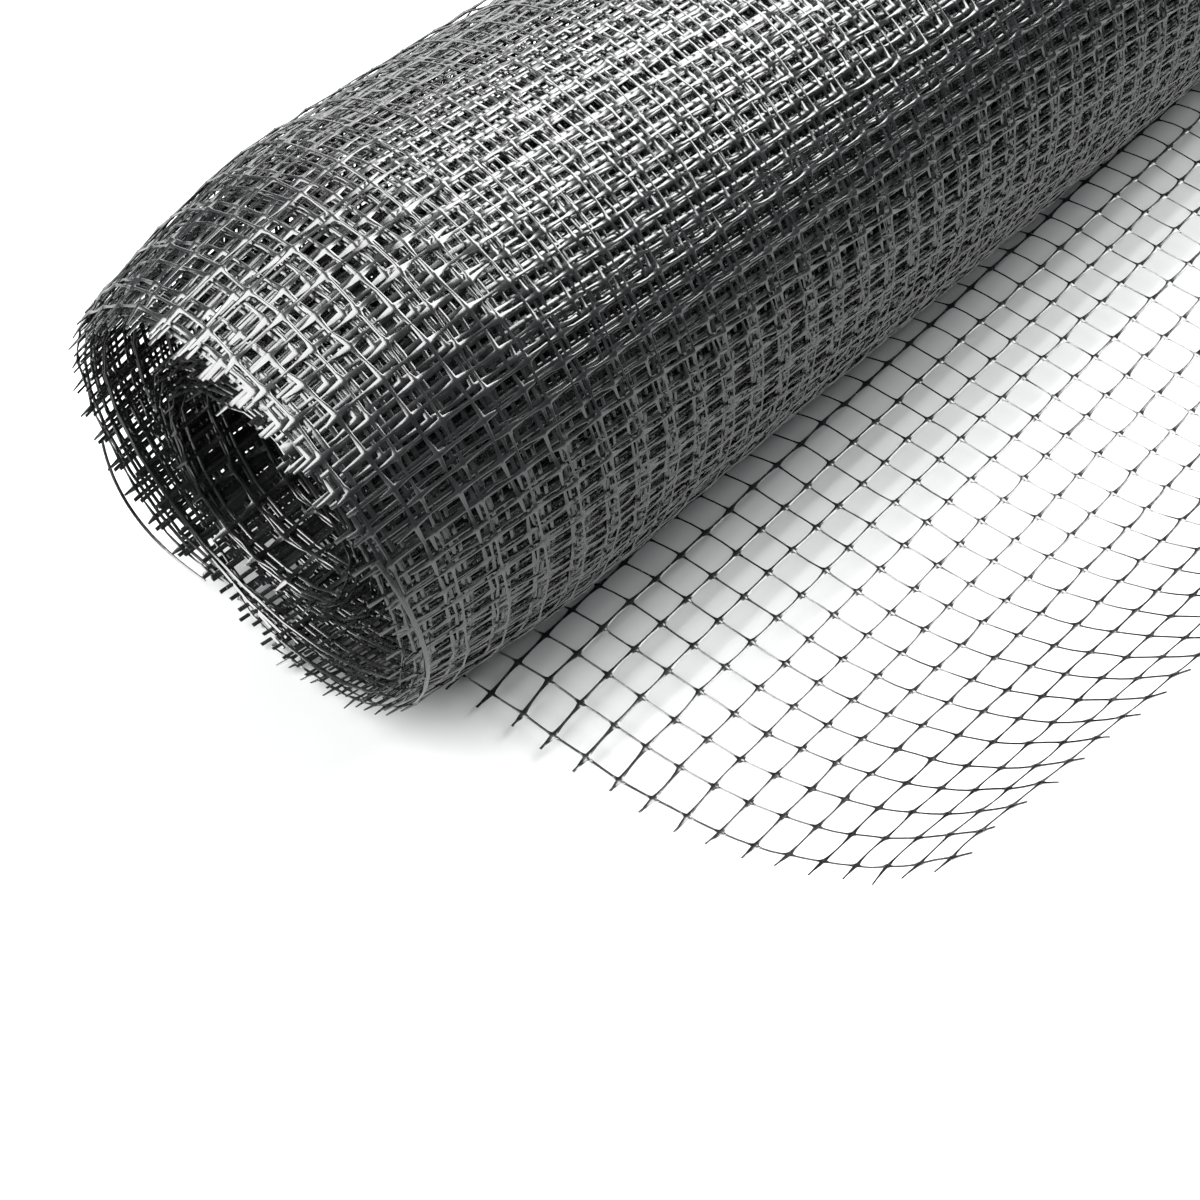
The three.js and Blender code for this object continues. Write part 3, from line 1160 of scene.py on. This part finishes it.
@dataclass(frozen=True)
class SprungCourse(Course):
    """One lengthwise strand that has sprung out of the roll's cut edge.

    Attributes:
        start, end: The stretch of the rim that it has left, as angles from straight up.
        rows: Even parts of the stretch, from start to end.
        y: Place along the axis at both ends of the stretch.
        spring: How far it stands off the roll halfway.
        slide: How far it moves out along the axis halfway.
    """

    start: float
    end: float
    rows: int
    y: float
    spring: float
    slide: float

    def place(
        self, row: np.ndarray, column: np.ndarray, out: np.ndarray, over: np.ndarray, lift: np.ndarray
    ) -> np.ndarray:
        """See Course. The strand stands off by the sine of its share of the way."""
        share = row / self.rows
        angle = self.start + (self.end - self.start) * share + out / SIZES.roll_radius
        hump = np.sin(math.pi * share)
        radius = np.full(row.shape, SIZES.roll_radius - SIZES.knot_room)
        y = self.y - self.slide * hump + over
        return bend_on_roll(angle, y, radius, lift + self.spring * hump, 0.0, 0.0)


@dataclass
class SprungStrands(SubAssembly):
    """Two strands of the near cut edge that have torn off their crossings.

    Attributes:
        rows: Even parts of each strand.
        steps_per_row: Steps of its section in each part.
    """

    rows: int = 12
    steps_per_row: int = 2

    def build(self) -> None:
        """Makes the strand that hangs outside the far side of the rim, and the bent one at the lower rim."""
        courses = {
            "sprung_strand_side": SprungCourse(
                start=math.radians(-154),
                end=math.radians(-108),
                rows=self.rows,
                y=-0.5005,
                spring=0.0062,
                slide=0.0035,
            ),
            "sprung_strand_low": SprungCourse(
                start=math.radians(60),
                end=math.radians(122),
                rows=self.rows,
                y=-0.4985,
                spring=0.0022,
                slide=-0.0015,
            ),
        }
        row = np.linspace(0.0, self.rows, self.rows * self.steps_per_row + 1)[None, :]
        for name, course in courses.items():
            points, faces = self.net.bars(course, row, np.zeros((1, 1)), self.net.lengthwise, lengthwise=True)
            self.dress(make_object(name, points, faces, np.ones(len(points))), "wound_roll")


@dataclass(frozen=True)
class Softbox:
    """A rectangular light that faces the roll.

    Attributes:
        name: Name of the light.
        direction: From the roll to the light.
        distance: How far away it hangs.
        size: Width and height.
        power: In watts.
    """

    name: str
    direction: tuple[float, float, float]
    distance: float
    size: tuple[float, float]
    power: float

    def hang(self) -> None:
        """Makes the light."""
        data = bpy.data.lights.new(self.name, "AREA")
        data.shape = "RECTANGLE"
        data.size, data.size_y = self.size
        data.energy = self.power
        light = bpy.data.objects.new(self.name, data)
        way = Vector(self.direction).normalized()
        light.rotation_euler = way.to_track_quat("Z", "Y").to_euler()
        light.location = way * self.distance
        bpy.context.scene.collection.objects.link(light)


SOFTBOXES = (
    Softbox("overhead", direction=(-0.02, 0.36, 0.90), distance=2.1, size=(2.6, 1.5), power=185.0),
    Softbox("side_back", direction=(-0.80, 0.42, 0.36), distance=2.4, size=(1.9, 1.4), power=34.0),
    Softbox("near_fill", direction=(-0.4, -1.0, 0.85), distance=2.6, size=(2.6, 2.2), power=215.0),
)


@dataclass(frozen=True)
class Studio:
    """Camera, lights and floor, which aren't part of the object.

    Attributes:
        camera_place: Where the camera stands.
        azimuth, elevation, roll: The way it looks, in degrees.
        focal_length, sensor_width: In millimetres.
        view_distance: How far the camera sees.
        floor_size: Side of the square floor.
        air_colour, air_strength: The even light from all round.
    """

    camera_place: tuple[float, float, float] = (0.4204, -0.7874, 0.6543)
    azimuth: float = 41.57
    elevation: float = 50.77
    roll: float = 1.24
    focal_length: float = 63.48
    sensor_width: float = 36.0
    view_distance: float = 50.0
    floor_size: float = 14.0
    air_colour: tuple[float, float, float] = (0.92, 0.96, 1.0)
    air_strength: float = 0.16

    def place_camera(self) -> None:
        """Makes the camera at the photograph's angle, with no depth of field."""
        a, e = math.radians(self.azimuth), math.radians(self.elevation)
        back = Vector((math.sin(a) * math.cos(e), -math.cos(a) * math.cos(e), math.sin(e)))
        level = Vector((math.cos(a), math.sin(a), 0.0))
        turn = Matrix.Rotation(math.radians(self.roll), 3, back)
        right = turn @ level
        up = back.cross(right)
        data = bpy.data.cameras.new("camera")
        data.lens = self.focal_length
        data.sensor_width = self.sensor_width
        data.sensor_fit = "HORIZONTAL"
        data.clip_end = self.view_distance
        camera = bpy.data.objects.new("camera", data)
        axes = Matrix((right, up, back)).transposed().to_4x4()
        camera.matrix_world = Matrix.Translation(Vector(self.camera_place)) @ axes
        bpy.context.scene.collection.objects.link(camera)
        bpy.context.scene.camera = camera

    def build(self) -> None:
        """Makes the floor and the lights."""
        mesh = bpy.data.meshes.new("floor")
        half = self.floor_size / 2
        corners = [(-half, -half, 0), (half, -half, 0), (half, half, 0), (-half, half, 0)]
        mesh.from_pydata(corners, [], [(0, 1, 2, 3)])
        floor = bpy.data.objects.new("floor", mesh)
        mesh.materials.append(StudioFloor().material())
        bpy.context.scene.collection.objects.link(floor)
        for softbox in SOFTBOXES:
            softbox.hang()
        world = bpy.data.worlds.new("studio")
        world.use_nodes = True
        air = world.node_tree.nodes["Background"]
        air.inputs["Color"].default_value = (*self.air_colour, 1.0)
        air.inputs["Strength"].default_value = self.air_strength
        bpy.context.scene.world = world
        bpy.context.scene.view_settings.view_transform = "Standard"
        bpy.context.scene.view_settings.look = "None"


def main() -> None:
    """Builds the camera, the object's sub-assemblies and the studio, in that order."""
    logging.basicConfig(level=logging.INFO, format="%(message)s")
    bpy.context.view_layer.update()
    studio = Studio()
    studio.place_camera()
    finish = BlackNetPlastic().material()
    net = Net()
    for maker in (LooseEnd, OuterWall, InnerGroup, SprungStrands):
        part = maker(net, finish)
        part.build()
        LOG.info("%s: %d pieces", type(part).__name__, len(part.pieces))
    studio.build()


if __name__ == "__main__":
    main()
